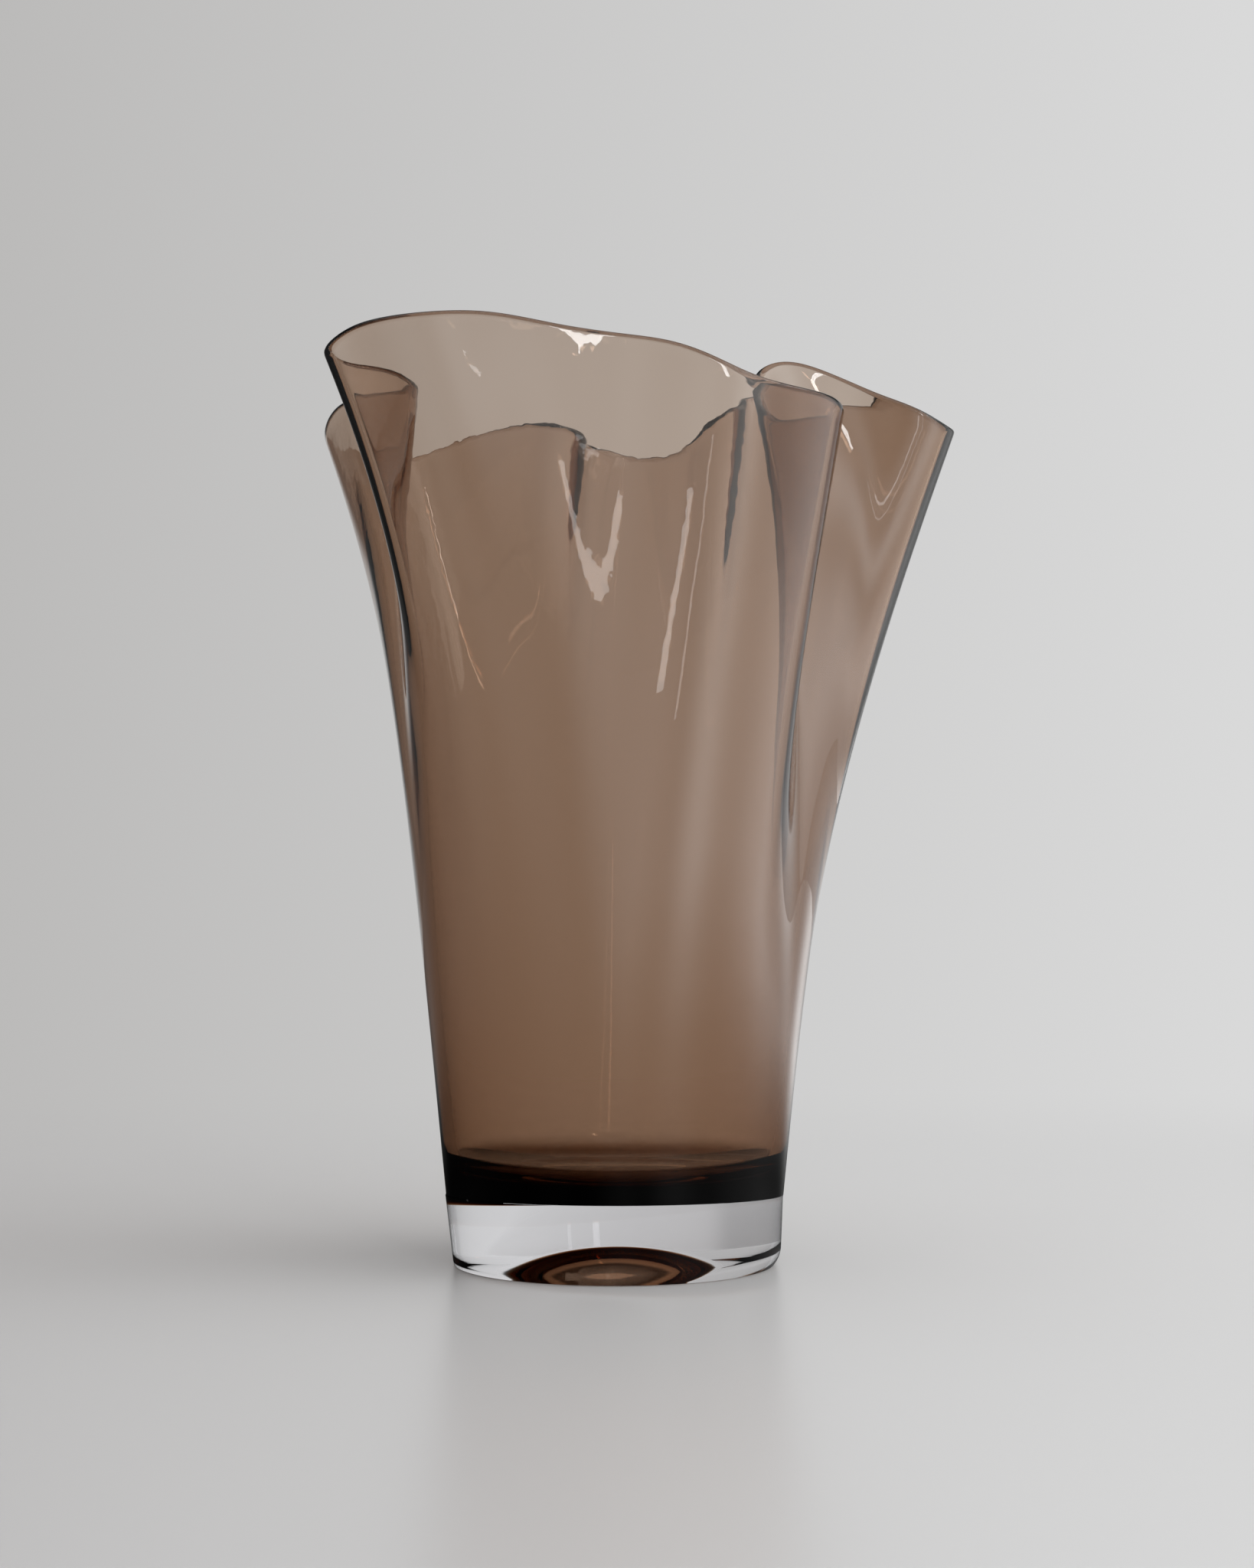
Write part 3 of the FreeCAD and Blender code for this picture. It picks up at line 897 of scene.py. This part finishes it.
class VASE_OT_clear_base(bpy.types.Operator):
    """Build the thick foot of clear glass"""

    bl_idname = "vase.clear_base"
    bl_label = "Clear Base"

    def execute(self, context):
        sizes = context.scene.vase_sizes
        glass = context.scene.vase_glass
        blank = FootBlank(sizes)

        # The side ends at the seam's tilted plane above and at the ground plane below.
        tilt = math.tan(sizes.seam_tilt)
        start = blank.crossing(lambda p: p[:, 2] - (sizes.seam_height - p[:, 1] * tilt))
        end = blank.crossing(lambda p: p[:, 2])
        side_shares = np.linspace(0, 1, FOOT_SIDE_STEPS + 1)
        side = [blank.profile(start + (end - start) * share) for share in side_shares]
        seam_disc = disc_rows(side[0], blank.middle)[::-1]

        punt_edge = blank.around * sizes.punt_radius
        ring_shares = np.linspace(0, 1, STANDING_RING_STEPS + 1)[1:]
        ring = [side[-1] + (punt_edge - side[-1]) * share for share in ring_shares]

        # The punt is the cap of a ball that its radius and depth give.
        ball = (sizes.punt_radius ** 2 + sizes.punt_depth ** 2) / (2 * sizes.punt_depth)
        widest = math.asin(sizes.punt_radius / ball)
        dome = []
        for share in np.linspace(1, 0, PUNT_STEPS + 1)[1:-1]:
            a = widest * share
            height = ball * math.cos(a) - ball + sizes.punt_depth
            dome.append(blank.around * ball * math.sin(a) + (0.0, 0.0, height))

        seam_edge = len(seam_disc)
        ground_edge = seam_edge + len(side) - 1
        centres = (blank.middle, (0.0, 0.0, sizes.punt_depth))
        piece = make_piece(
            "crystal_foot", seam_disc + side + ring + dome, centres, seam_edge + 1,
            [seam_edge, ground_edge, ground_edge + len(ring)],
        )
        # Colourless glass, set on hot, then ground and polished below: no waves, clean
        # bright edges, and a faint grey through its whole depth.
        piece.data.materials.append(glass_material(
            "Clear soda-lime glass, ground and polished",
            glass, glass.crystal_colour, glass.crystal_density, wavy=False,
        ))
        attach(piece, "root")
        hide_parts("clear_base")
        return {"FINISHED"}


class VASE_OT_tinted_bowl(bpy.types.Operator):
    """Build the folded bowl of smoky brown glass"""

    bl_idname = "vase.tinted_bowl"
    bl_label = "Tinted Bowl"

    def execute(self, context):
        sizes = context.scene.vase_sizes
        glass = context.scene.vase_glass
        wall = FoldedWall(sizes)
        shares = np.linspace(0.0, 1.0, sizes.rows + 1)
        outside = [wall.smooth(wall.at_share(share)) for share in shares]

        # The inside follows the outside through the glass, thickest low down.
        cavity_floor = sizes.seam_height + sizes.floor_thickness
        cavity_wall = cavity_floor + sizes.corner_height
        inner = []
        for share in shares:
            row = wall.at_height(cavity_wall + share * (wall.rim[:, 2] - cavity_wall))
            thickness = sizes.rim_wall + (sizes.heel_wall - sizes.rim_wall) * (1 - share) ** 2
            inner.append(wall.inward(row, thickness))
        inside = [wall.smooth(row) for row in inner]

        # The fire-polished lip is a half round from the outside to the inside.
        outer_rim = wall.at_share(1.0)
        arm = wall.run_at_rim() * HALF_CIRCLE_SHARE * sizes.rim_wall / 2
        lip = wall.strip((outer_rim, outer_rim + arm, inner[-1] + arm, inner[-1]), LIP_STEPS)

        # The cavity's wall runs into its floor through a flat quarter oval.
        top = inner[0]
        outward = top * (1.0, 1.0, 0.0)
        outward = outward / np.linalg.norm(outward, axis=1, keepdims=True)
        edge = top * (1.0, 1.0, 0.0) + (0.0, 0.0, cavity_floor) - outward * sizes.corner_width
        upper_arm = np.array((0.0, 0.0, sizes.corner_height * QUARTER_CIRCLE_SHARE))
        lower_arm = outward * sizes.corner_width * QUARTER_CIRCLE_SHARE
        corner = wall.strip((top, top - upper_arm, edge + lower_arm, edge), CORNER_STEPS)
        floor_edge = wall.smooth(edge)

        seam_centre = np.array((0.0, 0.0, sizes.seam_height))
        floor_centre = np.array((0.0, 0.0, cavity_floor))
        seam_disc = disc_rows(outside[0], seam_centre)[::-1]
        rows = (
            seam_disc + outside + lip + inside[::-1]
            + corner + [floor_edge] + disc_rows(floor_edge, floor_centre)
        )
        rows = [np.clip(row, *cad_box) for row in rows]
        for row in rows:
            row[:, 2] += SEAM_GAP * np.clip(1 - (row[:, 2] - sizes.seam_height) / SEAM_FADE, 0, 1)
        seam_centre[2] += SEAM_GAP
        seam_edge = len(seam_disc)
        piece = make_piece(
            "smoky_bowl", rows, (seam_centre, floor_centre), seam_edge + 1, [seam_edge],
        )

        # How far each point lies round the lip: the weight of the shade painted into the rim's
        # skin.
        lip_shade_weights = np.zeros((len(rows), len(rows[0])))
        first_lip_row = seam_edge + len(outside)
        for i in range(len(lip)):
            lip_shade_weights[first_lip_row + i] = math.sin(math.pi * (i + 1) / LIP_STEPS)
        lip_shade_weights = np.append(lip_shade_weights.ravel(), (0.0, 0.0))
        piece.data.attributes.new("lip", "FLOAT", "POINT").data.foreach_set("value", lip_shade_weights)

        # Glass melted with a brown smoke colour, blown, folded while soft and rounded at the rim
        # in the flame. The eye gets a brown that deepens with every layer it looks through and
        # sharp reflections that waver. The darker line along the rim is painted shade in the
        # skin's tint.
        piece.data.materials.append(glass_material(
            "Smoky brown soda-lime glass, blown and folded",
            glass, glass.smoke_colour, glass.smoke_density, wavy=True,
        ))
        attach(piece, "root")
        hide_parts("tinted_bowl")
        return {"FINISHED"}


class VASE_PT_panel(bpy.types.Panel):
    """Lists the vase's sizes and the steps that build it"""

    bl_idname = "VASE_PT_panel"
    bl_label = "Fan Vase"
    bl_space_type = "VIEW_3D"
    bl_region_type = "UI"
    bl_category = "Fan Vase"

    def draw(self, context):
        layout = self.layout
        scene = context.scene
        for group in (scene.vase_sizes, scene.vase_glass, scene.vase_stage):
            box = layout.box()
            for name in group.__annotations__:
                box.prop(group, name)
        for operator in OPERATORS:
            layout.operator(operator.bl_idname)


# In the order in which they build the scene.
OPERATORS = (VASE_OT_stage, VASE_OT_clear_base, VASE_OT_tinted_bowl)
CLASSES = (VaseSizes, GlassSettings, StageSettings, *OPERATORS, VASE_PT_panel)


def register():
    for cls in CLASSES:
        bpy.utils.register_class(cls)
    bpy.types.Scene.vase_sizes = PointerProperty(type=VaseSizes)
    bpy.types.Scene.vase_glass = PointerProperty(type=GlassSettings)
    bpy.types.Scene.vase_stage = PointerProperty(type=StageSettings)


def unregister():
    del bpy.types.Scene.vase_stage
    del bpy.types.Scene.vase_glass
    del bpy.types.Scene.vase_sizes
    for cls in reversed(CLASSES):
        bpy.utils.unregister_class(cls)


def main():
    register()
    bpy.ops.vase.stage()
    bpy.ops.vase.clear_base()
    bpy.ops.vase.tinted_bowl()


if __name__ == "__main__":
    main()
